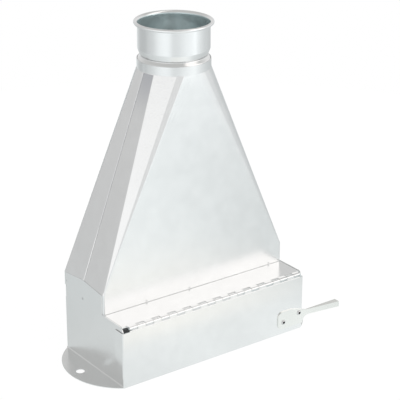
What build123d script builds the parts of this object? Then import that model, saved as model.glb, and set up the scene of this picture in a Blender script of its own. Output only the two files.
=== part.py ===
"""Duct floor sweep: a folded sheet steel hood that stands on the floor and takes swept dust into a round duct.

A rectangular box at floor level has a hinged door along its front and an ear with a bolt hole at each end.
Above its back half a hood runs from the rectangle to a round neck, which holds the duct collar.
All sizes are in millimetres. X runs along the door, Y to the back and Z up.
The origin is on the floor, midway between the two bolt holes.
"""

import os
from math import ceil, cos, radians, sin

from build123d import *

os.makedirs("parts", exist_ok=True)

# Sheet metal
sheet = 1.0  # thickness of the folded sheet
bend = 1.5  # inside radius of a floor or flange bend
touch = 0.1  # gap left between two round fits that are welded or riveted

# Box
box_width = 304.8  # over the outer faces of the two end plates
shelf_depth = 49.0  # door face to hood front
shelf_height = 88.0  # top face of the shelf above the floor
end_lip = 0.3  # how far an end plate stands above the shelf
nose_radius = 8.0  # rounding of an end plate's front top corner
end_back_gap = 5.5  # hood back to the back edge of an end plate
back_inset = 1.0  # floor to the lower edge of the back panel
back_web_drop = 5.0  # hood fold down to the upper edge of the back panel
flange_depth = 14.0  # depth of the hidden welding flanges

# Floor ears
ear_reach = 38.5  # how far an ear stands out from its end plate
hole_reach = 22.6  # outer face of an end plate to the middle of its bolt hole
hole_diameter = 12.0

# Hood
neck_radius = 50.0  # outside of the neck band, and half the depth of the hood
hood_corner = 2.5  # outside radius of the hood's four upright corners
fold_height = 116.5  # where the hood's sides start to lean in, at the corners
ridge = 2.0  # how far the middle of a side stands out at the fold
neck_start = 395.5  # lower end of the round neck band
neck_top = 407.5  # upper edge of the neck band
neck_flat = 0.1  # half width of the flat that closes each quarter of the neck
neck_peak = 0.05  # what is left of that ridge at the neck
seam_lap = 8.0  # width of the front shell's lap over the back shell
seam_joggle = 2.0  # length over which the lap steps out
seam_gap = 0.3  # play between the two shells at the seam
side_lap = 38.0  # how far the hood's sides reach down inside the end plates
back_lap = 25.0  # how far the hood's back reaches down outside the back panel
back_notch = 6.0  # slanted corner of the hood's back, at its lower end
crease_gap = 0.5  # gap under the hood's front edge, over the shelf bend
corner_slit = 0.5  # open slit between an end plate and the hood's front corner

# Shelf flanges
shelf_rise = 16.0  # up-turned flange behind the hood front
shelf_bend = 0.4  # inside radius of the shelf's bends

# Piano hinge
hinge_left_gap = 10.8  # outer face of the left end plate to the barrel
hinge_right_gap = 4.0  # barrel to the outer face of the right end plate
knuckle_pitch = 12.7
knuckle_gap = 0.5  # between neighbouring knuckles
leaf_sheet = 0.8
barrel_radius = 2.2
pin_play = 0.08  # radial running fit of the pin
leaf_width = 22.0  # from the hinge axis to the edge of a leaf
curl_end = 25.0  # where the rolled edge ends, short of its own leaf
knuckle_clear = 0.5  # a leaf's cut behind the other leaf's knuckles
shelf_clear = 0.8  # shelf edge to the raised leaf

# Door
door_side_gap = 0.4  # end plate to the inside of a door flange
door_back_gap = 0.6  # door sheet to the front edge of an end plate
door_floor_gap = 0.5
door_top_gap = 3.8  # hinge axis to the door's top edge
door_flange = 19.0  # depth of the side flanges, over the door face
door_bend = 1.0  # inside radius of the door's upright bends
flange_foot = 14.0  # floor to the lower end of a side flange
flange_slant = 5.0  # slanted lower corner of a side flange

# Foot lever
lever_sheet = 1.5
arm_out = 3.2  # door's right edge to the line where the arm turns forward
plate_length = 48.5  # riveted plate's left end to that line
plate_low = 8.5  # floor to the plate's lower edge
plate_rise = 27.0  # height of the plate
plate_round = 8.0  # radius of the plate's left corners
shoulder_back = 24.0  # turn of the arm back to where the plate's top edge starts to fall
root_back = 3.5  # turn of the arm back to where the plate's lower edge curves up to the arm
neck_ahead = 3.0  # turn of the arm on to where the falling top edge meets the arm
arm_lift = 11.0  # plate's lower edge to the arm's lower edge
arm_width = 8.0
arm_length = 59.0  # turn of the arm to its free end
arm_forward = 8.0  # how far the free end stands in front
arm_round = 10.0  # easing of the arm's bends
arm_fold = 3.0  # turn of the arm to the start of its folded top

# Lever rivets
rivet_left = 9.5  # plate's left end to the first rivet
rivet_right = 10.5  # second rivet to the turn of the arm
rivet_left_rise = 10.5  # plate's lower edge to the first rivet
rivet_right_rise = 17.5  # plate's lower edge to the second rivet
rivet_radius = 2.0
rivet_head_radius = 3.8
rivet_head = 1.5
rivet_core_radius = 1.7  # hollow left by the drawn mandrel
rivet_tail_radius = 2.9
rivet_tail = 2.6

# Duct collar
collar_radius = 48.8  # outside of the straight wall
groove_radius = 45.2  # outside of the wall at the bottom of the groove
foot_length = 11.5  # straight foot inside the neck band
foot_drop = 12.0  # neck top down to the lower end of the foot
groove_rise = 4.1  # groove bottom above the neck top
taper_rise = 14.0  # neck top up to the straight wall
groove_round = 2.0
collar_rise = 51.0  # neck top up to the top of the rolled rim
flare_radius = 5.0
flare_angle = 60.0
curl_radius = 2.35  # outside radius of the rolled rim
rim_curl = 250.0

# Places worked out from the sizes above
box_depth = shelf_depth + 2 * neck_radius
front_y = -box_depth / 2
back_y = box_depth / 2
hood_front_y = front_y + shelf_depth
neck_y = back_y - neck_radius
box_half = box_width / 2
hood_half = box_half - sheet
fold_rise = ridge * (neck_start - fold_height) / (hood_half + ridge - neck_radius)
hinge_left = hinge_left_gap - box_half
hinge_length = box_width - hinge_left_gap - hinge_right_gap
axis_y = front_y + sheet + barrel_radius
axis_z = shelf_height - sheet - barrel_radius
pin_radius = barrel_radius - leaf_sheet - pin_play
shelf_front = axis_y + barrel_radius + shelf_clear
door_half = box_half + door_side_gap + sheet
door_top = axis_z - door_top_gap
end_front = front_y + sheet + door_back_gap
end_back = back_y - end_back_gap
arm_bend = door_half + arm_out
plate_left = arm_bend - plate_length
arm_end = arm_bend + arm_length
arm_low = plate_low + arm_lift
arm_high = arm_low + arm_width
plate_high = plate_low + plate_rise
rivet_places = (
    (plate_left + rivet_left, plate_low + rivet_left_rise),
    (arm_bend - rivet_right, plate_low + rivet_right_rise),
)
hood_slit_y = hood_front_y + hood_corner + corner_slit
web_half = hood_half - hood_corner


# Hood envelopes

def hood_section(height, half_x, half_y, corner, peak):
    """Rounded rectangle whose left and right sides are drawn out to a peak; ten edges at any size."""
    with BuildSketch(Plane((0, neck_y, height))) as section:
        with BuildLine():
            Line((half_x + peak, 0), (half_x, half_y - corner))
            CenterArc((half_x - corner, half_y - corner), corner, 0, 90)
            Line((half_x - corner, half_y), (0, half_y))
            mirror(about=Plane.YZ)
            mirror(about=Plane.XZ)
        make_face()
    return section.sketch


def hood_envelope(inset, overrun):
    """Solid bounded by the hood's outer skin moved in by inset, run past both open ends by overrun."""
    half_x = hood_half - inset
    half_y = neck_radius - inset
    with BuildPart() as envelope:
        foot = hood_section(fold_height, half_x, half_y, hood_corner - inset, ridge)
        top = hood_section(neck_start, half_y, half_y, half_y - neck_flat, neck_peak)
        loft([foot, top], ruled=True)
        with BuildSketch(Plane((0, neck_y, fold_height))):
            Rectangle(2 * half_x, 2 * half_y)
        extrude(amount=neck_start - fold_height, mode=Mode.INTERSECT)
        with BuildSketch(Plane((0, neck_y, fold_height))):
            RectangleRounded(2 * half_x, 2 * half_y, hood_corner - inset)
        extrude(amount=-side_lap - overrun)
        extrude(top, amount=neck_top - neck_start + overrun)
    return envelope.part


def slab(y_from, y_to, z_from, z_to):
    """Block across the whole width, used to keep or to cut a part of the hood."""
    with BuildPart() as block:
        with BuildSketch(Plane.XY.offset(z_from)):
            with Locations((0, (y_from + y_to) / 2)):
                Rectangle(2 * box_width, y_to - y_from)
        extrude(amount=z_to - z_from)
    return block.part


foot_z = fold_height - side_lap
hood_outer = hood_envelope(0, 0)
hood_inner = hood_envelope(sheet, sheet)
lap_outer = hood_envelope(-sheet, 0)
lap_inner = hood_envelope(0, sheet)

# Front shell of the hood: flat front, both front corners and half of each side, lapped over the back shell
with BuildPart() as seam_strip:
    add(lap_outer)
    add(lap_inner, mode=Mode.SUBTRACT)
    add(slab(neck_y - seam_joggle, neck_y + seam_lap, fold_height + fold_rise, neck_top), mode=Mode.INTERSECT)

with BuildPart() as hood_front_shell:
    add(hood_outer)
    add(hood_inner, mode=Mode.SUBTRACT)
    add(slab(front_y, neck_y, foot_z, neck_top), mode=Mode.INTERSECT)
    add(slab(front_y, hood_slit_y, foot_z, shelf_height + crease_gap), mode=Mode.SUBTRACT)
    add(seam_strip.part)
hood_front_shell.part.label = "hood_front_shell"
export_step(hood_front_shell.part, "parts/hood_front_shell.step")

# Back shell of the hood: flat back, both back corners and the other half of each side
back_edge = fold_height - back_lap
with BuildPart() as hood_back_shell:
    add(hood_outer)
    add(hood_inner, mode=Mode.SUBTRACT)
    add(slab(neck_y + seam_gap, back_y, foot_z, neck_top), mode=Mode.INTERSECT)
    add(slab(end_back, back_y, foot_z, back_edge), mode=Mode.SUBTRACT)
    with BuildSketch(Plane.XZ.offset(-end_back)):
        with BuildLine():
            Polyline(
                (hood_half, back_edge),
                (hood_half, back_edge + back_notch),
                (hood_half - back_notch, back_edge),
                close=True,
            )
        make_face()
        mirror(about=Plane.YZ)
    extrude(amount=end_back - back_y, mode=Mode.SUBTRACT)
hood_back_shell.part.label = "hood_back_shell"
export_step(hood_back_shell.part, "parts/hood_back_shell.step")


# Bent sheet

def fold_line(y):
    """Height at which the side of the hood meets the upright plane of the end plate."""
    return fold_height + fold_rise * (1 - abs(y - neck_y) / (neck_radius - hood_corner))


# Duct collar: a foot inside the neck band, a groove, a straight wall and a rolled rim
foot_radius = neck_radius - sheet - touch
foot_low = neck_top - foot_drop
inner_radius = collar_radius - sheet
curl_z = neck_top + collar_rise - curl_radius
flare_z = curl_z - (flare_radius - curl_radius) * sin(radians(flare_angle))
flare_x = inner_radius + flare_radius
curl_x = flare_x - (flare_radius - curl_radius) * cos(radians(flare_angle))
with BuildPart() as collar:
    with BuildSketch(Plane((0, neck_y, 0), x_dir=(1, 0, 0), z_dir=(0, -1, 0))):
        with BuildLine():
            FilletPolyline(
                (foot_radius - sheet, foot_low),
                (foot_radius - sheet, foot_low + foot_length),
                (groove_radius - sheet, neck_top + groove_rise),
                (inner_radius, neck_top + taper_rise),
                (inner_radius, flare_z),
                radius=groove_round,
            )
            offset(amount=sheet, side=Side.RIGHT)
        make_face()
        for x, z, radius, start, turn in (
            (flare_x, flare_z, flare_radius, 180, flare_angle),
            (curl_x, curl_z, curl_radius, 180 - flare_angle, rim_curl),
        ):
            with BuildLine():
                skin = CenterArc((x, z), radius, start, -turn)
                back = CenterArc((x, z), radius - sheet, start, -turn)
                Line(skin @ 0, back @ 0)
                Line(skin @ 1, back @ 1)
            make_face()
    revolve(axis=Axis((0, neck_y, 0), (0, 0, 1)))
collar.part.label = "collar"
export_step(collar.part, "parts/collar.step")

# End plate: upright panel with a rounded nose at the hinge and an ear turned out along the floor
bend_height = sheet + bend
plate_top = shelf_height + end_lip
with BuildPart() as left_end_plate:
    with BuildSketch(Plane.YZ.offset(-box_half)):
        with BuildLine():
            front = Line((end_front, bend_height), (end_front, plate_top - nose_radius))
            nose = CenterArc((end_front + nose_radius, plate_top - nose_radius), nose_radius, 180, -90)
            Polyline(
                nose @ 1,
                (hood_slit_y, plate_top),
                (hood_slit_y, fold_line(hood_slit_y)),
                (neck_y, fold_line(neck_y)),
                (end_back, fold_line(end_back)),
                (end_back, bend_height),
                front @ 0,
            )
        make_face()
    extrude(amount=sheet)
    with BuildSketch(Plane.XZ.offset(-end_front)):
        with BuildLine():
            CenterArc((-box_half - bend, bend_height), bend, 0, -90)
            offset(amount=sheet, side=Side.LEFT)
        make_face()
    extrude(amount=end_front - end_back)
    with BuildSketch():
        with BuildLine():
            chord = Line((-box_half - bend, end_back), (-box_half - bend, end_front))
            ThreePointArc(chord @ 1, (-box_half - ear_reach, 0), chord @ 0)
        make_face()
        with Locations((-box_half - hole_reach, 0)):
            Circle(hole_diameter / 2, mode=Mode.SUBTRACT)
    extrude(amount=sheet)
left_end_plate.part.label = "left_end_plate"
export_step(left_end_plate.part, "parts/left_end_plate.step")

with BuildPart() as right_end_plate:
    mirror(left_end_plate.part, about=Plane.YZ)
right_end_plate.part.label = "right_end_plate"
export_step(right_end_plate.part, "parts/right_end_plate.step")

# Back panel: flanged at both ends inside the end plates, with its upper part inside the hood's back
back_face = back_y - sheet
with BuildPart() as back_panel:
    with BuildSketch(Plane.XY.offset(back_inset)):
        with BuildLine():
            FilletPolyline(
                (-hood_half, back_face - flange_depth),
                (-hood_half, back_face),
                (hood_half, back_face),
                (hood_half, back_face - flange_depth),
                radius=hood_corner,
            )
            offset(amount=sheet, side=Side.RIGHT)
        make_face()
    extrude(amount=foot_z - corner_slit - back_inset)
    with BuildSketch(Plane.XY.offset(back_inset)):
        with Locations((0, back_face - sheet / 2)):
            Rectangle(2 * (web_half - corner_slit), sheet)
    extrude(amount=fold_height - back_web_drop - back_inset)
back_panel.part.label = "back_panel"
export_step(back_panel.part, "parts/back_panel.step")

# Top shelf: turned down at both ends against the end plates and turned up behind the hood front
with BuildPart() as top_shelf:
    with BuildSketch(Plane.XZ.offset(-shelf_front)):
        with BuildLine():
            FilletPolyline(
                (-hood_half, shelf_height - flange_depth),
                (-hood_half, shelf_height),
                (hood_half, shelf_height),
                (hood_half, shelf_height - flange_depth),
                radius=shelf_bend + sheet,
            )
            offset(amount=sheet, side=Side.RIGHT)
        make_face()
    extrude(amount=shelf_front - hood_front_y)
    with BuildSketch(Plane.YZ.offset(corner_slit - web_half)):
        with BuildLine():
            FilletPolyline(
                (shelf_front, shelf_height),
                (hood_front_y + sheet, shelf_height),
                (hood_front_y + sheet, shelf_height + shelf_rise),
                radius=shelf_bend,
            )
            offset(amount=sheet, side=Side.RIGHT)
        make_face()
    extrude(amount=2 * (web_half - corner_slit))
top_shelf.part.label = "top_shelf"
export_step(top_shelf.part, "parts/top_shelf.step")


# Piano hinge: two leaves rolled into alternate knuckles round one pin
hinge_end = (hinge_left, axis_y, axis_z)
knuckles = ceil(hinge_length / knuckle_pitch)
clear_radius = barrel_radius + knuckle_clear


def rolled_leaf(plane, length, first):
    """Leaf along the plane's first direction, rolled round the pin, without every second knuckle from first."""
    bore = barrel_radius - leaf_sheet
    slit_x = clear_radius * cos(radians(curl_end))
    slit_y = clear_radius * sin(radians(curl_end))
    with BuildPart() as leaf:
        with BuildSketch(plane):
            Circle(barrel_radius)
            Circle(bore, mode=Mode.SUBTRACT)
            with Locations((leaf_width / 2, barrel_radius - leaf_sheet / 2)):
                Rectangle(leaf_width, leaf_sheet)
            with BuildLine():
                Polyline((0, 0), (slit_x, slit_y), (clear_radius, bore), (0, bore), close=True)
            make_face(mode=Mode.SUBTRACT)
        extrude(amount=length)
        for index in range(first, knuckles, 2):
            start = index * knuckle_pitch - knuckle_gap / 2
            with BuildSketch(Plane.YZ.offset(hinge_left + start)):
                with Locations((axis_y, axis_z)):
                    Rectangle(2 * clear_radius, 2 * clear_radius)
            extrude(amount=knuckle_pitch + knuckle_gap, mode=Mode.SUBTRACT)
    return leaf.part


with BuildPart() as hinge_fixed_leaf:
    add(rolled_leaf(Plane(hinge_end, x_dir=(0, 1, 0), z_dir=(1, 0, 0)), hinge_length, 1))
hinge_fixed_leaf.part.label = "hinge_fixed_leaf"
export_step(hinge_fixed_leaf.part, "parts/hinge_fixed_leaf.step")

with BuildPart() as hinge_moving_leaf:
    add(rolled_leaf(Plane(hinge_end, x_dir=(0, 0, -1), z_dir=(-1, 0, 0)), -hinge_length, 0))
hinge_moving_leaf.part.label = "hinge_moving_leaf"
export_step(hinge_moving_leaf.part, "parts/hinge_moving_leaf.step")

with BuildPart() as hinge_pin:
    with BuildSketch(Plane.YZ.offset(hinge_left)):
        with Locations((axis_y, axis_z)):
            Circle(pin_radius)
    extrude(amount=hinge_length)
hinge_pin.part.label = "hinge_pin"
export_step(hinge_pin.part, "parts/hinge_pin.step")

# Door: flat front with a flange turned back along each side, clear of the ears at its foot
bend_start = door_half - door_bend - sheet
flange_back = front_y + door_flange
with BuildPart() as door:
    with BuildSketch(Plane.XY.offset(door_floor_gap)):
        with BuildLine():
            FilletPolyline(
                (-door_half, flange_back),
                (-door_half, front_y),
                (door_half, front_y),
                (door_half, flange_back),
                radius=door_bend + sheet,
            )
            offset(amount=sheet, side=Side.LEFT)
        make_face()
    extrude(amount=door_top - door_floor_gap)
    for side in (-1, 1):
        with BuildSketch(Plane.YZ.offset(side * bend_start)):
            with BuildLine():
                Polyline(
                    (front_y + sheet, 0),
                    (front_y + sheet, flange_foot),
                    (flange_back - flange_slant, flange_foot),
                    (flange_back, flange_foot + flange_slant),
                    (flange_back, 0),
                    close=True,
                )
            make_face()
        extrude(amount=side * door_half, mode=Mode.SUBTRACT)
    with BuildSketch(Plane.XZ.offset(-front_y)):
        with Locations(*rivet_places):
            Circle(rivet_radius + touch)
    extrude(amount=-sheet, mode=Mode.SUBTRACT)
door.part.label = "door"
export_step(door.part, "parts/door.step")

# Foot lever: riveted plate, and an arm bent forward whose top edge is folded back
with BuildPart() as lever:
    with BuildSketch(Plane.XZ.offset(-front_y)):
        with BuildLine():
            outline = FilletPolyline(
                (arm_end, arm_high),
                (arm_bend + neck_ahead, arm_high),
                (arm_bend - shoulder_back, plate_high),
                (plate_left, plate_high),
                (plate_left, plate_low),
                (arm_bend - root_back, plate_low),
                radius=[arm_round, arm_round, plate_round, plate_round],
            )
            cove = CenterArc((arm_bend - root_back + arm_lift, plate_low), arm_lift, 180, -90)
            Polyline(cove @ 1, (arm_end, arm_low), outline @ 0)
        make_face()
    extrude(amount=arm_forward + lever_sheet)
    with BuildSketch(Plane.XY.offset(plate_low), mode=Mode.ADD):
        with BuildLine():
            FilletPolyline(
                (plate_left, front_y),
                (arm_bend, front_y),
                (arm_end, front_y - arm_forward),
                radius=arm_round,
            )
            offset(amount=lever_sheet, side=Side.RIGHT)
        make_face()
    extrude(amount=plate_rise, mode=Mode.INTERSECT)
    with BuildSketch(Plane.XY.offset(arm_high - lever_sheet)):
        with BuildLine():
            Polyline(
                (arm_bend + arm_fold, front_y - arm_forward * arm_fold / arm_length),
                (arm_end, front_y - arm_forward),
                (arm_end, front_y),
                (arm_bend + arm_fold, front_y),
                close=True,
            )
        make_face()
    extrude(amount=lever_sheet)
    with BuildSketch(Plane.XZ.offset(-front_y)):
        with Locations(*rivet_places):
            Circle(rivet_radius + touch)
    extrude(amount=lever_sheet, mode=Mode.SUBTRACT)
lever.part.label = "lever"
export_step(lever.part, "parts/lever.step")

# Lever rivets: blind rivets with a domed head, a hollow core and a bulged tail behind the door
grip = lever_sheet + sheet
with BuildPart() as lever_rivets:
    for place_x, place_z in rivet_places:
        seat = Plane((place_x, front_y - lever_sheet, place_z), x_dir=(1, 0, 0), z_dir=(0, 0, -1))
        with BuildSketch(seat):
            with BuildLine():
                dome = ThreePointArc(
                    (rivet_core_radius, rivet_head),
                    ((rivet_core_radius + rivet_head_radius) / 2, rivet_head * 0.75),
                    (rivet_head_radius, 0),
                )
                Polyline(
                    dome @ 1,
                    (rivet_radius, 0),
                    (rivet_radius, -grip),
                    (rivet_tail_radius, -grip),
                    (rivet_tail_radius, -grip - rivet_tail / 2),
                    (rivet_radius, -grip - rivet_tail),
                    (0, -grip - rivet_tail),
                    (0, -rivet_head),
                    (rivet_core_radius, -rivet_head),
                    dome @ 0,
                )
            make_face()
        revolve(axis=Axis(seat.origin, (0, -1, 0)))
lever_rivets.part.label = "lever_rivets"
export_step(lever_rivets.part, "parts/lever_rivets.step")
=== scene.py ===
"""Duct floor sweep in zinc-coated sheet steel, dressed for a studio picture.

The sections follow the sweep as it is put together: the studio, then the floor box, the hood,
the duct collar, the piano hinge, and last the door with its foot lever.
"""

from math import cos, radians, sin

import bmesh
import bpy
from mathutils import Matrix

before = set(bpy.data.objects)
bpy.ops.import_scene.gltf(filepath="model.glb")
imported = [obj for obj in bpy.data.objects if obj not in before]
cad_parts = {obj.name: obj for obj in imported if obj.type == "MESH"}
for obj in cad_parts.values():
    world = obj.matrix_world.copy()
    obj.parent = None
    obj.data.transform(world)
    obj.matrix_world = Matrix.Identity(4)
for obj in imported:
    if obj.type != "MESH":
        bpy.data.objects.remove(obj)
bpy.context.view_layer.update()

# Camera: a long lens that looks from the front left and from above, as the photograph's does.
# Its place and turn come from a fit of the box's corners, the neck and the rim.
image_width = 400  # pixels
focal_length = 1435.80  # pixels
sensor_width = 36.0  # millimetres
camera_place = (-1.0645, -1.4821, 0.9454)
camera_turn, camera_dip, camera_roll = -36.340, 21.949, 0.168  # degrees
camera = bpy.data.objects.new("camera", bpy.data.cameras.new("camera"))
bpy.context.scene.collection.objects.link(camera)
camera.data.sensor_fit = "HORIZONTAL"
camera.data.sensor_width = sensor_width
camera.data.lens = sensor_width * focal_length / image_width
camera.data.clip_start = 0.05
camera.data.clip_end = 30
camera.matrix_world = (
    Matrix.Translation(camera_place)
    @ Matrix.Rotation(radians(camera_turn), 4, "Z")
    @ Matrix.Rotation(radians(90 - camera_dip), 4, "X")
    @ Matrix.Rotation(radians(camera_roll), 4, "Z")
)
bpy.context.scene.camera = camera
bpy.context.scene.view_settings.view_transform = "Standard"


# Studio round the sweep: pale walls, brightest in front and to the left, with one big soft lamp above the
# floor on the right of the camera. Bare zinc mirrors them, while the camera itself sees plain white.
def linear(hex_colour):
    """Linear red, green and blue of an sRGB hex colour."""
    channels = [int(hex_colour[i:i + 2], 16) / 255 for i in (1, 3, 5)]
    return tuple(c / 12.92 if c <= 0.04045 else ((c + 0.055) / 1.055) ** 2.4 for c in channels)


def add_node(tree, kind, settings=None, links=None, values=None):
    """One node, with its settings, what its inputs are linked from and what its open inputs hold."""
    node = tree.nodes.new(kind)
    for name, value in (settings or {}).items():
        setattr(node, name, value)
    for key, value in (values or {}).items():
        node.inputs[key].default_value = value
    for key, source in (links or {}).items():
        tree.links.new(source, node.inputs[key])
    return node


def set_ramp(ramp, stops, interpolation="LINEAR"):
    """Colour stops of a ramp, as (place, linear colour) pairs."""
    ramp.interpolation = interpolation
    while len(ramp.elements) > 1:
        ramp.elements.remove(ramp.elements[-1])
    for index, (place, colour) in enumerate(stops):
        stop = ramp.elements[0] if index == 0 else ramp.elements.new(place)
        stop.position = place
        stop.color = (*colour, 1)


def light_by_bearing(tree, direction, levels, tint=(1.0, 1.0, 1.0)):
    """Light level all round, from (bearing, level) pairs.

    Bearings are in degrees, counter-clockwise from straight to the right of the sweep.
    """
    bearing = add_node(tree, "ShaderNodeTexGradient", {"gradient_type": "RADIAL"}, {"Vector": direction})
    ramp = add_node(tree, "ShaderNodeValToRGB", None, {"Fac": bearing.outputs["Fac"]})
    stops = sorted(((angle / 360 + 0.5) % 1.0, level / 2) for angle, level in levels)
    # A stop at each end closes the round where the gradient starts over, straight to the left.
    (first, low), (last, high) = stops[0], stops[-1]
    seam = high + (low - high) * (1 - last) / (first + 1 - last)
    stops = [(0.0, seam), *stops, (1.0, seam)]
    set_ramp(ramp.color_ramp, [(place, tuple(level * part for part in tint)) for place, level in stops])
    doubled = add_node(
        tree, "ShaderNodeVectorMath", {"operation": "SCALE"}, {"Vector": ramp.outputs["Color"]},
        {"Scale": 2.0},
    )
    return doubled.outputs["Vector"]


# Levels by bearing, as the zinc mirrors them. They change from one set to the next between two heights,
# each given as the sine of the angle above the horizon.
low_levels = [
    (0, 0.76), (28, 0.65), (50, 0.68), (72, 0.86), (88, 0.74), (106, 0.62), (132, 0.61), (152, 0.75),
    (166, 0.82), (178, 0.96), (190, 1.09), (206, 1.17), (218, 1.13), (234, 0.89), (248, 0.92), (262, 1.01),
    (276, 1.10), (292, 1.16), (306, 1.26), (316, 1.06), (326, 0.95), (345, 0.81),
]
high_levels = [
    (0, 0.95), (45, 0.80), (80, 0.79), (108, 0.75), (122, 0.71), (134, 0.69), (143, 0.75), (151, 0.84),
    (160, 0.98), (169, 1.04), (178, 1.10), (194, 1.19), (214, 1.22), (224, 1.14), (231, 1.03), (240, 0.88),
    (252, 0.85), (261, 0.99), (270, 1.09), (290, 1.08), (326, 0.99), (342, 0.98),
]
low_until, high_from = -0.17, 0.02
walls_until, overhead_from = 0.2, 0.7
overhead_level = (0.62, 0.62, 0.61)
lamp_level = 0.62
lamp_levels = [(280, 0.0), (292, lamp_level), (324, lamp_level), (338, 0.0)]
world = bpy.data.worlds.new("studio_walls")
bpy.context.scene.world = world
world.use_nodes = True
tree = world.node_tree
tree.nodes.clear()
direction = add_node(tree, "ShaderNodeTexCoord")
low_walls = light_by_bearing(tree, direction.outputs["Generated"], low_levels, (0.965, 1.0, 1.01))
high_walls = light_by_bearing(tree, direction.outputs["Generated"], high_levels, (1.005, 1.0, 1.0))
height = add_node(tree, "ShaderNodeSeparateXYZ", None, {"Vector": direction.outputs["Generated"]})
above = add_node(
    tree, "ShaderNodeMapRange", {"interpolation_type": "SMOOTHSTEP"}, {"Value": height.outputs["Z"]},
    {"From Min": low_until, "From Max": high_from},
)
walls = add_node(
    tree, "ShaderNodeMix", {"data_type": "VECTOR"},
    {"Factor": above.outputs["Result"], 4: low_walls, 5: high_walls},
)
overhead = add_node(
    tree, "ShaderNodeMapRange", {"interpolation_type": "SMOOTHSTEP"}, {"Value": height.outputs["Z"]},
    {"From Min": walls_until, "From Max": overhead_from},
)
room = add_node(
    tree, "ShaderNodeMix", {"data_type": "VECTOR"},
    {"Factor": overhead.outputs["Result"], 4: walls.outputs[1]}, {5: overhead_level},
)
lamp = light_by_bearing(tree, direction.outputs["Generated"], lamp_levels, (1.07, 1.0, 0.97))
lamp = add_node(
    tree, "ShaderNodeVectorMath", {"operation": "SCALE"}, {"Vector": lamp, "Scale": above.outputs["Result"]}
)
room = add_node(
    tree, "ShaderNodeVectorMath", {"operation": "ADD"}, {0: room.outputs[1], 1: lamp.outputs["Vector"]}
)
ray = add_node(tree, "ShaderNodeLightPath")
lit = add_node(tree, "ShaderNodeBackground", None, {"Color": room.outputs["Vector"]}, {"Strength": 1.0})
plain = add_node(tree, "ShaderNodeBackground", None, None, {"Color": (1, 1, 1, 1), "Strength": 1.0})
mixed = add_node(
    tree, "ShaderNodeMixShader", None,
    {"Fac": ray.outputs["Is Camera Ray"], 1: lit.outputs["Background"], 2: plain.outputs["Background"]},
)
add_node(tree, "ShaderNodeOutputWorld", None, {"Surface": mixed.outputs["Shader"]})

# White paper floor: it glows for the camera, gloss and glass, while the rest of its light stays matt, so
# that the sweep keeps its shadow. The glow follows the walls' light, by bearing, near the box and far out.
paper_radius = 1.22
paper_top = -0.0002  # just clear of the sweep's lower edges
box_half_width = 0.1515  # inside of the end plates
box_half_depth = 0.0735  # inside of the back panel
glow_share = 0.9  # the rest of the paper is matt
near_levels = [
    (0, 1.05), (60, 0.88), (100, 0.79), (135, 0.73), (160, 0.80), (180, 0.85), (200, 0.95), (215, 1.00),
    (240, 1.03), (270, 1.07), (300, 1.03), (330, 1.10),
]
far_levels = [
    (0, 0.73), (30, 0.68), (60, 0.66), (110, 0.65), (135, 0.78), (152, 0.82), (166, 0.87), (178, 0.92),
    (190, 0.98), (215, 1.05), (234, 0.97), (250, 0.99), (270, 1.10), (284, 1.13), (291, 1.10), (298, 1.07),
    (305, 1.00), (312, 0.91), (320, 0.88), (340, 0.79),
]
near_reach, far_reach = 0.18, 0.40  # from the middle of the box
seen_white = (1.05, 1.05, 1.05)
floor_mesh = bpy.data.meshes.new("studio_floor")
shape = bmesh.new()
bmesh.ops.create_circle(shape, cap_ends=True, segments=96, radius=paper_radius)
bmesh.ops.translate(shape, vec=(0, 0, paper_top), verts=shape.verts)
shape.to_mesh(floor_mesh)
shape.free()
floor = bpy.data.objects.new("studio_floor", floor_mesh)
bpy.context.scene.collection.objects.link(floor)
paper = bpy.data.materials.new("white_background_paper")
paper.use_nodes = True
tree = paper.node_tree
tree.nodes.clear()
place = add_node(tree, "ShaderNodeTexCoord")
near_glow = light_by_bearing(tree, place.outputs["Object"], near_levels)
far_glow = light_by_bearing(tree, place.outputs["Object"], far_levels, (0.955, 1.0, 1.005))
# A hand's breadth in front of the door the paper is brighter and warmer, where the lamp clears the box.
plain_until_y, warm_from_y = -0.155, -0.205
along = add_node(tree, "ShaderNodeSeparateXYZ", None, {"Vector": place.outputs["Object"]})
ahead = add_node(
    tree, "ShaderNodeMapRange", {"interpolation_type": "SMOOTHSTEP"}, {"Value": along.outputs["Y"]},
    {"From Min": plain_until_y, "From Max": warm_from_y},
)
ahead = add_node(
    tree, "ShaderNodeMix", {"data_type": "VECTOR"}, {"Factor": ahead.outputs["Result"]},
    {4: (0.965, 1.0, 1.0), 5: (1.150, 1.130, 1.075)},
)
near_glow = add_node(
    tree, "ShaderNodeVectorMath", {"operation": "MULTIPLY"}, {0: near_glow, 1: ahead.outputs[1]}
).outputs["Vector"]
reach = add_node(tree, "ShaderNodeVectorMath", {"operation": "LENGTH"}, {0: place.outputs["Object"]})
far = add_node(
    tree, "ShaderNodeMapRange", {"interpolation_type": "SMOOTHSTEP"}, {"Value": reach.outputs["Value"]},
    {"From Min": near_reach, "From Max": far_reach},
)
glow_colour = add_node(
    tree, "ShaderNodeMix", {"data_type": "VECTOR"},
    {"Factor": far.outputs["Result"], 4: near_glow, 5: far_glow},
)
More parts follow.
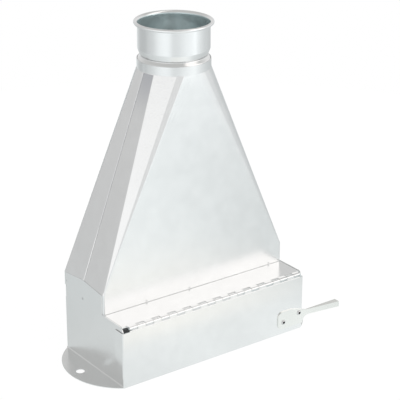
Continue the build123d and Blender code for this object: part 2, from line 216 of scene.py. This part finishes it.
# Under the box the paper is painted less bright, a painted shade where little light gets in, and painted
# dark in the rear left corner, a painted shadow where the camera looks in through the gap at the hinge's
# left end.
dark_until_x, lit_from_x = -0.0515, -0.0475
dark_from_y, lit_until_y = 0.058, 0.0
lit_gain, dark_level = 0.70, 0.02
from_left = add_node(
    tree, "ShaderNodeMapRange", None, {"Value": along.outputs["X"]},
    {"From Min": dark_until_x, "From Max": lit_from_x},
)
from_back = add_node(
    tree, "ShaderNodeMapRange", {"interpolation_type": "SMOOTHSTEP"}, {"Value": along.outputs["Y"]},
    {"From Min": dark_from_y, "From Max": lit_until_y},
)
from_corner = add_node(
    tree, "ShaderNodeMath", {"operation": "MAXIMUM"},
    {0: from_left.outputs["Result"], 1: from_back.outputs["Result"]},
)
from_corner = add_node(
    tree, "ShaderNodeMath", {"operation": "MULTIPLY_ADD"}, {0: from_corner.outputs["Value"]},
    {1: lit_gain, 2: dark_level},
)
from_middle = add_node(
    tree, "ShaderNodeVectorMath", {"operation": "ABSOLUTE"}, {0: place.outputs["Object"]}
)
from_middle = add_node(tree, "ShaderNodeSeparateXYZ", None, {"Vector": from_middle.outputs["Vector"]})
beside = add_node(
    tree, "ShaderNodeMath", {"operation": "GREATER_THAN"}, {0: from_middle.outputs["X"]},
    {1: box_half_width},
)
beyond = add_node(
    tree, "ShaderNodeMath", {"operation": "GREATER_THAN"}, {0: from_middle.outputs["Y"]},
    {1: box_half_depth},
)
open_floor = add_node(
    tree, "ShaderNodeMath", {"operation": "MAXIMUM"},
    {0: beside.outputs["Value"], 1: beyond.outputs["Value"]},
)
ray = add_node(tree, "ShaderNodeLightPath")
glow_colour = add_node(
    tree, "ShaderNodeMix", {"data_type": "VECTOR"},
    {"Factor": open_floor.outputs["Value"], 5: glow_colour.outputs[1]}, {4: (0.93, 1.0, 1.01)},
)
seen_colour = add_node(
    tree, "ShaderNodeMix", {"data_type": "VECTOR"},
    {"Factor": ray.outputs["Is Camera Ray"], 4: glow_colour.outputs[1]}, {5: seen_white},
)
shown = add_node(
    tree, "ShaderNodeMath", {"operation": "ADD"},
    {0: ray.outputs["Is Camera Ray"], 1: ray.outputs["Is Glossy Ray"]},
)
shown = add_node(
    tree, "ShaderNodeMath", {"operation": "ADD"},
    {0: shown.outputs["Value"], 1: ray.outputs["Is Transmission Ray"]},
)
inside = add_node(
    tree, "ShaderNodeMix", {"data_type": "FLOAT"},
    {"Factor": ray.outputs["Is Camera Ray"], 3: from_corner.outputs["Value"]}, {2: 0.95},
)
lit_floor = add_node(
    tree, "ShaderNodeMath", {"operation": "MAXIMUM"},
    {0: open_floor.outputs["Value"], 1: inside.outputs["Result"]},
)
shown = add_node(
    tree, "ShaderNodeMath", {"operation": "MULTIPLY"},
    {0: shown.outputs["Value"], 1: lit_floor.outputs["Value"]},
)
shown = add_node(
    tree, "ShaderNodeMath", {"operation": "MULTIPLY"}, {0: shown.outputs["Value"]}, {1: glow_share}
)
# Painted shade: the matt paper is painted grey under the box and dark in its rear left corner.
matt_colour = add_node(
    tree, "ShaderNodeMix", {"data_type": "RGBA"}, {"Factor": lit_floor.outputs["Value"]},
    {6: (*linear("#868686"), 1), 7: (*linear("#F2F2F2"), 1)},
)
matt = add_node(tree, "ShaderNodeBsdfDiffuse", None, {"Color": matt_colour.outputs[2]})
glow = add_node(tree, "ShaderNodeEmission", None, {"Color": seen_colour.outputs[1]}, {"Strength": 1.0})
surface = add_node(
    tree, "ShaderNodeMixShader", None,
    {"Fac": shown.outputs["Value"], 1: matt.outputs["BSDF"], 2: glow.outputs["Emission"]},
)
add_node(tree, "ShaderNodeOutputMaterial", None, {"Surface": surface.outputs["Shader"]})
floor_mesh.materials.append(paper)


# End plates, left and right: one folded blank each, upright against the box's end, with a rounded nose
# under the hinge and an ear turned out along the floor. They are cold-rolled steel sheet with a bright
# zinc coat, which mirrors softly, smeared along the rolling lines, and clouds a little.
def zinc_sheet(
    name, rolling, colour="#E8E9E9", roughness=0.16, clouding=0.012, grain=0.6, waviness=0.0004, welds=()
):
    """Bright zinc-coated sheet: fine rolling lines along the given axis, faint clouding and slow waves.

    Waviness is the depth of the waves, and welds are places of spot welds as (x, y, z, radius), in metres.
    """
    material = bpy.data.materials.new(name)
    material.use_nodes = True
    tree = material.node_tree
    tree.nodes.clear()
    place = add_node(tree, "ShaderNodeTexCoord")
    # Rolling lines are about 0.3 mm apart on the real coil; 1.6 mm is the finest that the picture shows.
    line_gap, line_length = 0.0016, 0.12
    scale = [1 / (line_length if axis == rolling else line_gap) for axis in "XYZ"]
    turned = add_node(tree, "ShaderNodeMapping", None, {"Vector": place.outputs["Object"]}, {"Scale": scale})
    lines = add_node(
        tree, "ShaderNodeTexNoise", None, {"Vector": turned.outputs["Vector"]},
        {"Scale": 1.0, "Detail": 2.0},
    )
    # Clouds in the coat are 15 to 20 mm across, and the waves of the flat sheet about 80 mm.
    cloud_size, wave_size = 0.018, 0.08
    clouds = add_node(
        tree, "ShaderNodeTexNoise", None, {"Vector": place.outputs["Object"]},
        {"Scale": 1 / cloud_size, "Detail": 3.0},
    )
    waves = add_node(
        tree, "ShaderNodeTexNoise", None, {"Vector": place.outputs["Object"]},
        {"Scale": 1 / wave_size, "Detail": 0.0},
    )
    dent_depth, line_depth = 0.0002, 0.00002
    dullest, glossiest = roughness + 0.015, roughness - 0.015
    noise_low, noise_high = 0.3, 0.7  # nearly all of the noise lies between these
    base = linear(colour)
    tone = add_node(tree, "ShaderNodeValToRGB", None, {"Fac": clouds.outputs["Fac"]})
    set_ramp(tone.color_ramp, [
        (noise_low, tuple(c * (1 - clouding) for c in base)),
        (noise_high, tuple(c * (1 + clouding) for c in base)),
    ])
    tone = tone.outputs["Color"]
    dent = None
    for *centre, radius in welds:
        # A spot weld leaves a shallow round dent with a darker bottom.
        away = add_node(
            tree, "ShaderNodeVectorMath", {"operation": "DISTANCE"}, {0: place.outputs["Object"]},
            {1: centre},
        )
        mark = add_node(
            tree, "ShaderNodeMapRange", {"interpolation_type": "SMOOTHSTEP"},
            {"Value": away.outputs["Value"]}, {"From Min": radius, "From Max": radius * 0.6},
        )
        tone = add_node(
            tree, "ShaderNodeMix", {"data_type": "RGBA"}, {"Factor": mark.outputs["Result"], 6: tone},
            {7: (*[c * 0.8 for c in base], 1)},
        ).outputs[2]
        dent = mark.outputs["Result"] if dent is None else add_node(
            tree, "ShaderNodeMath", {"operation": "ADD"}, {0: dent, 1: mark.outputs["Result"]}
        ).outputs["Value"]
    cloud_gloss = add_node(
        tree, "ShaderNodeMapRange", None, {"Value": clouds.outputs["Fac"]},
        {"From Min": noise_low, "From Max": noise_high, "To Min": glossiest, "To Max": dullest},
    )
    gloss = add_node(
        tree, "ShaderNodeMath", {"operation": "MULTIPLY_ADD"},
        {0: lines.outputs["Fac"], 2: cloud_gloss.outputs["Result"]}, {1: 0.03},
    )
    wavy = add_node(
        tree, "ShaderNodeBump", {"name": "waves"}, {"Height": waves.outputs["Fac"]},
        {"Strength": 1.0, "Distance": waviness},
    )
    if dent is not None:
        wavy = add_node(
            tree, "ShaderNodeBump", {"invert": True}, {"Height": dent, "Normal": wavy.outputs["Normal"]},
            {"Strength": 1.0, "Distance": dent_depth},
        )
    lined = add_node(
        tree, "ShaderNodeBump", None, {"Height": lines.outputs["Fac"], "Normal": wavy.outputs["Normal"]},
        {"Strength": 0.15, "Distance": line_depth},
    )
    metal = add_node(
        tree, "ShaderNodeBsdfPrincipled", {"name": "metal"},
        {"Base Color": tone, "Roughness": gloss.outputs["Value"], "Normal": lined.outputs["Normal"]},
        {"Metallic": 1.0, "Anisotropic": grain, "Anisotropic Rotation": 0.25},
    )
    add_node(tree, "ShaderNodeOutputMaterial", None, {"Surface": metal.outputs["BSDF"]})
    return material


def coat(node, material):
    """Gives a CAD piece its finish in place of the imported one."""
    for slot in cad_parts[node].material_slots:
        slot.material = material


end_face = 0.1524  # middle of the box to an end plate's outer face
end_welds = [(0.0259, 0.0936, 0.0026), (0.0667, 0.1050, 0.0014), (0.0672, 0.0972, 0.0014)]
end_zinc = zinc_sheet(
    "zinc_coated_end_plates", "Y", roughness=0.21, grain=0.7,
    welds=[(side * end_face, y, z, radius) for side in (-1, 1) for y, z, radius in end_welds],
)
coat("left_end_plate", end_zinc)
coat("right_end_plate", end_zinc)

# Back panel: the plain rear wall of the floor box, in the same zinc-coated sheet, rolled along the box.
# It is flanged inside the end plates and spot-welded to them, and the hood's back hangs over it.
back_zinc = zinc_sheet("zinc_coated_back_panel", "X")
coat("back_panel", back_zinc)

# Top shelf: the flat zinc-coated strip between hinge and hood. It is turned up behind the hood's front and
# down inside the end plates, and lies clear of feet, so its coat is the glossiest.
shelf_zinc = zinc_sheet("zinc_coated_shelf", "X", roughness=0.14, clouding=0.018, waviness=0.0008)
coat("top_shelf", shelf_zinc)

# Hood: two half shells of zinc-coated sheet folded square to round, lapped and spot-welded down the sides,
# and welded to the shelf's upturned edge along the front. Its corners are braked in a few flat folds that
# fan out from the corner of the box, so each mirrors an even band of the walls.
def recolour(material, mask, hex_colour):
    """Gives a finish another colour where the mask is one."""
    tree = material.node_tree
    base = tree.nodes["metal"].inputs["Base Color"]
    tone = add_node(
        tree, "ShaderNodeMix", {"data_type": "RGBA"}, {"Factor": mask, 6: base.links[0].from_socket},
        {7: (*linear(hex_colour), 1)},
    )
    tree.links.new(tone.outputs[2], base)


duct_axis_y = 0.0245
corner_x, corner_y, corner_z = 0.1518, 0.0497, 0.1165  # where the folds meet, from the duct's axis
neck_radius, neck_rise = 0.050, 0.279
neck_band_foot = 0.395
hood_front_y, weld_z, weld_radius = -0.0255, 0.0900, 0.0016
hood_zinc = zinc_sheet(
    "zinc_coated_hood", "X", roughness=0.19, clouding=0.018, grain=0.7, waviness=0.0007,
    welds=[(x, hood_front_y, weld_z, weld_radius) for x in (-0.0825, -0.0106, 0.1293)],
)
tree = hood_zinc.node_tree
place = add_node(tree, "ShaderNodeTexCoord")
# All four corners are alike, so each point is mirrored over to the left front one.
turned = add_node(
    tree, "ShaderNodeVectorMath", {"operation": "SUBTRACT"}, {0: place.outputs["Object"]},
    {1: (0.0, duct_axis_y, 0.0)},
)
turned = add_node(tree, "ShaderNodeVectorMath", {"operation": "ABSOLUTE"}, {0: turned.outputs["Vector"]})
turned = add_node(
    tree, "ShaderNodeVectorMath", {"operation": "MULTIPLY_ADD"}, {0: turned.outputs["Vector"]},
    {1: (-1.0, -1.0, 1.0), 2: (corner_x, corner_y, -corner_z)},
)
# Flat folds: the bearing that each one faces, and the bearing round the neck of its edge to the next one.
depth = 0.0506  # duct's axis to the first fold, at the neck
fold_softness = 0.0006
height, planes = None, []
folds = [(182.4, 203.0), (221.0, 239.0), (244.0, 250.5), (270.0, 270.0)]
for index, (facing, edge) in enumerate(folds):
    if index:
        before, shared = folds[index - 1]
        depth += neck_radius * (cos(radians(shared - facing)) - cos(radians(shared - before)))
    out_x, out_y = cos(radians(facing)), sin(radians(facing))
    lean = (depth + out_x * corner_x + out_y * corner_y) / neck_rise
    fold = add_node(
        tree, "ShaderNodeVectorMath", {"operation": "DOT_PRODUCT"}, {0: turned.outputs["Vector"]},
        {1: (-out_x, -out_y, lean)},
    ).outputs["Value"]
    planes.append(fold)
    height = fold if height is None else add_node(
        tree, "ShaderNodeMath", {"operation": "SMOOTH_MIN"}, {0: height, 1: fold}, {2: fold_softness}
    ).outputs["Value"]
# Below the neck band the first fold is painted a darker bluish grey: painted shade under the band's edge,
# deepest next to the band.
up = add_node(tree, "ShaderNodeSeparateXYZ", None, {"Vector": place.outputs["Object"]})
band_unshaded_until_z, band_shaded_from_z = 0.330, 0.398
high = add_node(
    tree, "ShaderNodeMapRange", {"interpolation_type": "SMOOTHSTEP"}, {"Value": up.outputs["Z"]},
    {"From Min": band_unshaded_until_z, "From Max": band_shaded_from_z},
)
first = add_node(tree, "ShaderNodeMath", {"operation": "SUBTRACT"}, {0: planes[1], 1: planes[0]})
first = add_node(
    tree, "ShaderNodeMapRange", None, {"Value": first.outputs["Value"]},
    {"From Min": 0.0, "From Max": fold_softness},
)
rolled = add_node(
    tree, "ShaderNodeMapRange", None, {"Value": planes[0]},
    {"From Min": 0.0001, "From Max": fold_softness},
)
band_shade = add_node(
    tree, "ShaderNodeMath", {"operation": "MULTIPLY"},
    {0: high.outputs["Result"], 1: first.outputs["Result"]},
)
band_shade = add_node(
    tree, "ShaderNodeMath", {"operation": "MULTIPLY"},
    {0: band_shade.outputs["Value"], 1: rolled.outputs["Result"]},
)
back_until_y, front_from_y = 0.026, 0.020
front = add_node(
    tree, "ShaderNodeMapRange", None, {"Value": up.outputs["Y"]},
    {"From Min": back_until_y, "From Max": front_from_y},
)
below = add_node(
    tree, "ShaderNodeMath", {"operation": "LESS_THAN"}, {0: up.outputs["Z"]}, {1: neck_band_foot}
)
for part in (front.outputs["Result"], below.outputs["Value"]):
    band_shade = add_node(tree, "ShaderNodeMath", {"operation": "MULTIPLY"}, {0: band_shade.outputs["Value"], 1: part})
# Painted shade: the masked part of the first fold is given a darker, bluish grey.
recolour(hood_zinc, band_shade.outputs["Value"], "#CBCDD1")
# The step of the side lap keeps its own colour low down only, and is painted darker further up: painted
# shade that dims its reflection there.
lap_step_y, step_half_width = 0.0225, 0.00015
step_unshaded_until_z, step_shaded_from_z = 0.165, 0.200
step = add_node(
    tree, "ShaderNodeMath", {"operation": "COMPARE"}, {0: up.outputs["Y"]},
    {1: lap_step_y, 2: step_half_width},
)
step_shade = add_node(
    tree, "ShaderNodeMapRange", {"interpolation_type": "SMOOTHSTEP"}, {"Value": up.outputs["Z"]},
    {"From Min": step_unshaded_until_z, "From Max": step_shaded_from_z},
)
step = add_node(
    tree, "ShaderNodeMath", {"operation": "MULTIPLY"}, {0: step.outputs["Value"], 1: step_shade.outputs["Result"]}
)
step = add_node(
    tree, "ShaderNodeMath", {"operation": "MULTIPLY"}, {0: step.outputs["Value"], 1: below.outputs["Value"]}
)
# Painted shade on the lap's step, above its lowest part.
recolour(hood_zinc, step.outputs["Value"], "#D4D5D6")
# The folds end at the neck band and at the box, and the right side is rolled softer than the left.
fold_foot = 0.120
on_cone = add_node(
    tree, "ShaderNodeMath", {"operation": "COMPARE"}, {0: up.outputs["Z"]},
    {1: (neck_band_foot + fold_foot) / 2, 2: (neck_band_foot - fold_foot) / 2},
)
crisp = add_node(
    tree, "ShaderNodeMapRange", None, {"Value": up.outputs["X"]},
    {"From Min": -0.01, "From Max": 0.01, "To Min": 1.0, "To Max": 0.3},
)
crisp = add_node(
    tree, "ShaderNodeMath", {"operation": "MULTIPLY"},
    {0: on_cone.outputs["Value"], 1: crisp.outputs["Result"]},
)
folded = add_node(
    tree, "ShaderNodeBump", None, {"Height": height, "Strength": crisp.outputs["Value"]}, {"Distance": 1.0}
)
tree.links.new(folded.outputs["Normal"], tree.nodes["waves"].inputs["Normal"])
coat("hood_front_shell", hood_zinc)
coat("hood_back_shell", hood_zinc)

# Duct collar: rolled and grooved from a strip of zinc-coated sheet, with its rim spun outward and curled.
# The spinning left it bright outside. Its bore is duller, and painted darker and bluish: painted shade for
# the light bounced round inside the duct.
bore_radius = 0.0480
bore_foot = 0.426
collar_zinc = zinc_sheet("zinc_coated_collar", "Z", roughness=0.13, grain=0.7)
tree = collar_zinc.node_tree
place = add_node(tree, "ShaderNodeTexCoord")
out = add_node(
    tree, "ShaderNodeVectorMath", {"operation": "MULTIPLY_ADD"}, {0: place.outputs["Object"]},
    {1: (1.0, 1.0, 0.0), 2: (0.0, -duct_axis_y, 0.0)},
)
out = add_node(tree, "ShaderNodeVectorMath", {"operation": "LENGTH"}, {0: out.outputs["Vector"]})
bore = add_node(
    tree, "ShaderNodeMapRange", None, {"Value": out.outputs["Value"]},
    {"From Min": bore_radius + 0.0004, "From Max": bore_radius},
)
up = add_node(tree, "ShaderNodeSeparateXYZ", None, {"Vector": place.outputs["Object"]})
wall = add_node(tree, "ShaderNodeMath", {"operation": "GREATER_THAN"}, {0: up.outputs["Z"]}, {1: bore_foot})
bore = add_node(
    tree, "ShaderNodeMath", {"operation": "MULTIPLY"}, {0: bore.outputs["Result"], 1: wall.outputs["Value"]}
)
# Painted shade: the bore is given a darker, bluish colour.
recolour(collar_zinc, bore.outputs["Value"], "#C9D8DA")
bare = add_node(
    tree, "ShaderNodeMapRange", None, {"Value": bore.outputs["Value"]}, {"To Min": 1.0, "To Max": 0.6}
)
tree.links.new(bare.outputs["Result"], tree.nodes["metal"].inputs["Metallic"])
coat("collar", collar_zinc)

# Piano hinge: two leaves of thinner sheet, zinc-plated after rolling and so a little duller, curled in turn
# round one drawn steel pin. One is spot-welded under the shelf, the other behind the door.
hinge_zinc = zinc_sheet("zinc_plated_hinge_leaf", "X", roughness=0.22)
coat("hinge_fixed_leaf", hinge_zinc)
coat("hinge_moving_leaf", hinge_zinc)
pin_steel = zinc_sheet("bright_drawn_pin", "X", colour="#C9CACA", roughness=0.34)
coat("hinge_pin", pin_steel)

# Door: one zinc-coated sheet with a flange turned back along each side, hung on the moving leaf. It is the
# largest flat piece, and waves most.
door_zinc = zinc_sheet("zinc_coated_door", "X", clouding=0.018, waviness=0.0010)
coat("door", door_zinc)

# Foot lever: a thicker steel plate, blanked, bent and then zinc-plated, which leaves it slightly warm and
# duller than the sheet. It is riveted to the door, and its narrow arm is bent forward and folded on top.
lever_zinc = zinc_sheet("zinc_plated_lever", "X", colour="#E9EAE7", roughness=0.20)
coat("lever", lever_zinc)

# Lever rivets: two blind rivets of zinc-plated steel with domed, satin heads. The mandrel that drew them
# tight has broken off, and left a hollow in the middle of each, which is painted dark as painted shade.
rivet_places = [(0.1180, 0.0190), (0.1465, 0.0260)]
rivet_core_radius = 0.0017
rivet_steel = zinc_sheet("zinc_plated_rivets", "Z", colour="#CFD0D0", roughness=0.32)
tree = rivet_steel.node_tree
place = add_node(tree, "ShaderNodeTexCoord")
for x, z in rivet_places:
    away = add_node(
        tree, "ShaderNodeVectorMath", {"operation": "MULTIPLY_ADD"}, {0: place.outputs["Object"]},
        {1: (1.0, 0.0, 1.0), 2: (-x, 0.0, -z)},
    )
    away = add_node(tree, "ShaderNodeVectorMath", {"operation": "LENGTH"}, {0: away.outputs["Vector"]})
    hollow = add_node(
        tree, "ShaderNodeMapRange", None, {"Value": away.outputs["Value"]},
        {"From Min": rivet_core_radius + 0.0003, "From Max": rivet_core_radius + 0.00005},
    )
    # Painted shade in the hollow of each rivet head.
    recolour(rivet_steel, hollow.outputs["Result"], "#4E4A48")
coat("lever_rivets", rivet_steel)
